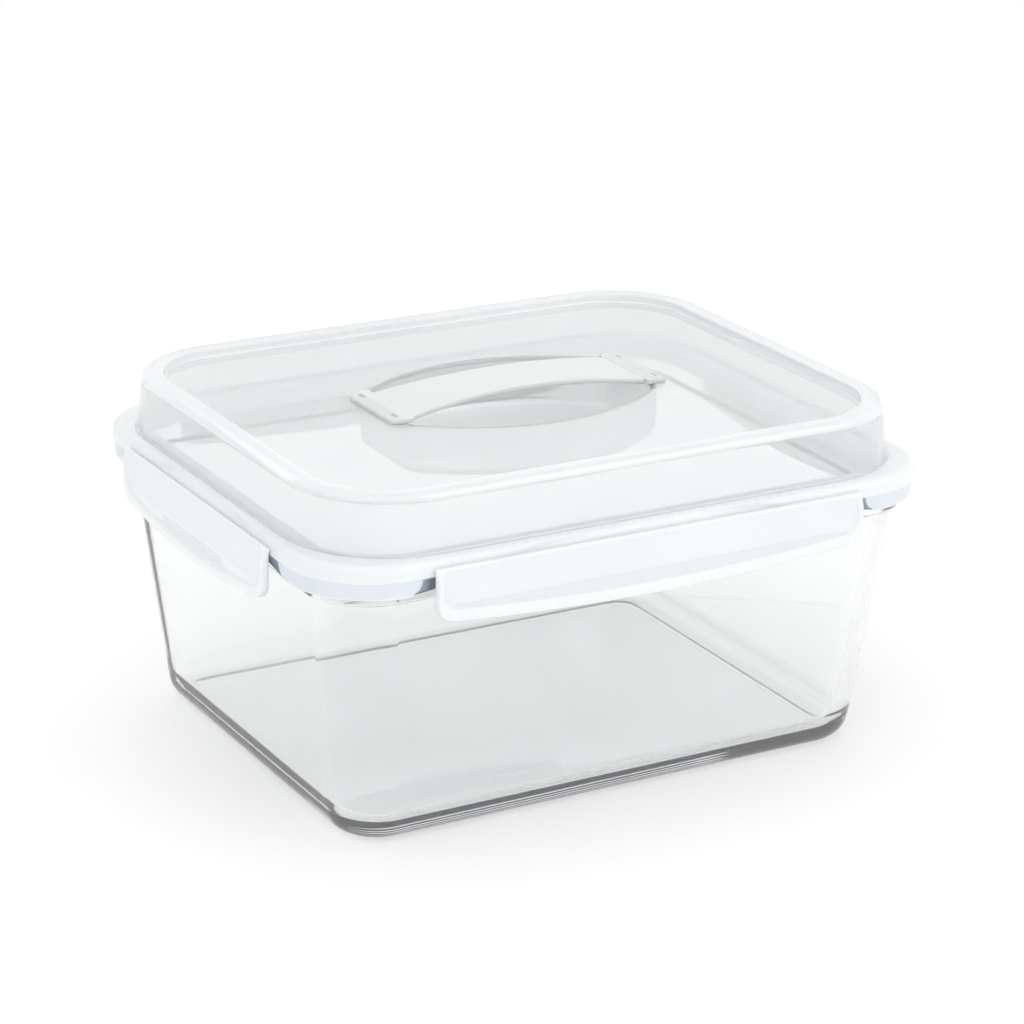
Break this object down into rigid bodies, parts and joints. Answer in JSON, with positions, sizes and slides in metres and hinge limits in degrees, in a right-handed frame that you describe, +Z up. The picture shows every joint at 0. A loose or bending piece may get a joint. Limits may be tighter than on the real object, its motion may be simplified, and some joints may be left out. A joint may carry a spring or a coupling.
{
  "type": "glass food storage container",
  "caption": "Large rectangular glass food storage box with a clear domed lid that seals under hinged side latches and is carried by a strap across a sunk cup.",
  "frame": {"origin": "middle of the underside of the glass tub, on the surface it stands on", "axes": "+X along the long side, +Y to the back, +Z up"},
  "size_m": [0.3156, 0.2596, 0.1645],
  "materials": {
    "pressed_glass": "clear, fire polished",
    "clear_lid": "clear polypropylene, slightly hazy",
    "silicone_seal": "translucent silicone, matt",
    "milky_strap": "milky polypropylene",
    "milky_latch": "milky polypropylene"
  },
  "bodies": {
    "tub": {"glass_tub": "pressed_glass"},
    "lid": {"lid_shell": "clear_lid", "lid_seal": "silicone_seal", "carry_strap": "milky_strap"},
    "front_latch": {"front_latch": "milky_latch"},
    "rear_latch": {"rear_latch": "milky_latch"},
    "left_latch": {"left_latch": "milky_latch"},
    "right_latch": {"right_latch": "milky_latch"}
  },
  "joints": [
    {"name": "lid_lift", "type": "slide", "parent": "tub", "child": "lid", "axis": [0, 0, 1], "range_m": [0, 0.08]},
    {"name": "front_latch_hinge", "type": "hinge", "parent": "lid", "child": "front_latch", "pos_m": [0, -0.1271, 0.1302], "axis": [-1, 0, 0], "range_deg": [0, 150]},
    {"name": "rear_latch_hinge", "type": "hinge", "parent": "lid", "child": "rear_latch", "pos_m": [0, 0.1271, 0.1302], "axis": [1, 0, 0], "range_deg": [0, 150]},
    {"name": "left_latch_hinge", "type": "hinge", "parent": "lid", "child": "left_latch", "pos_m": [-0.1551, 0, 0.1302], "axis": [0, 1, 0], "range_deg": [0, 150]},
    {"name": "right_latch_hinge", "type": "hinge", "parent": "lid", "child": "right_latch", "pos_m": [0.1551, 0, 0.1302], "axis": [0, -1, 0], "range_deg": [0, 150]}
  ]
}
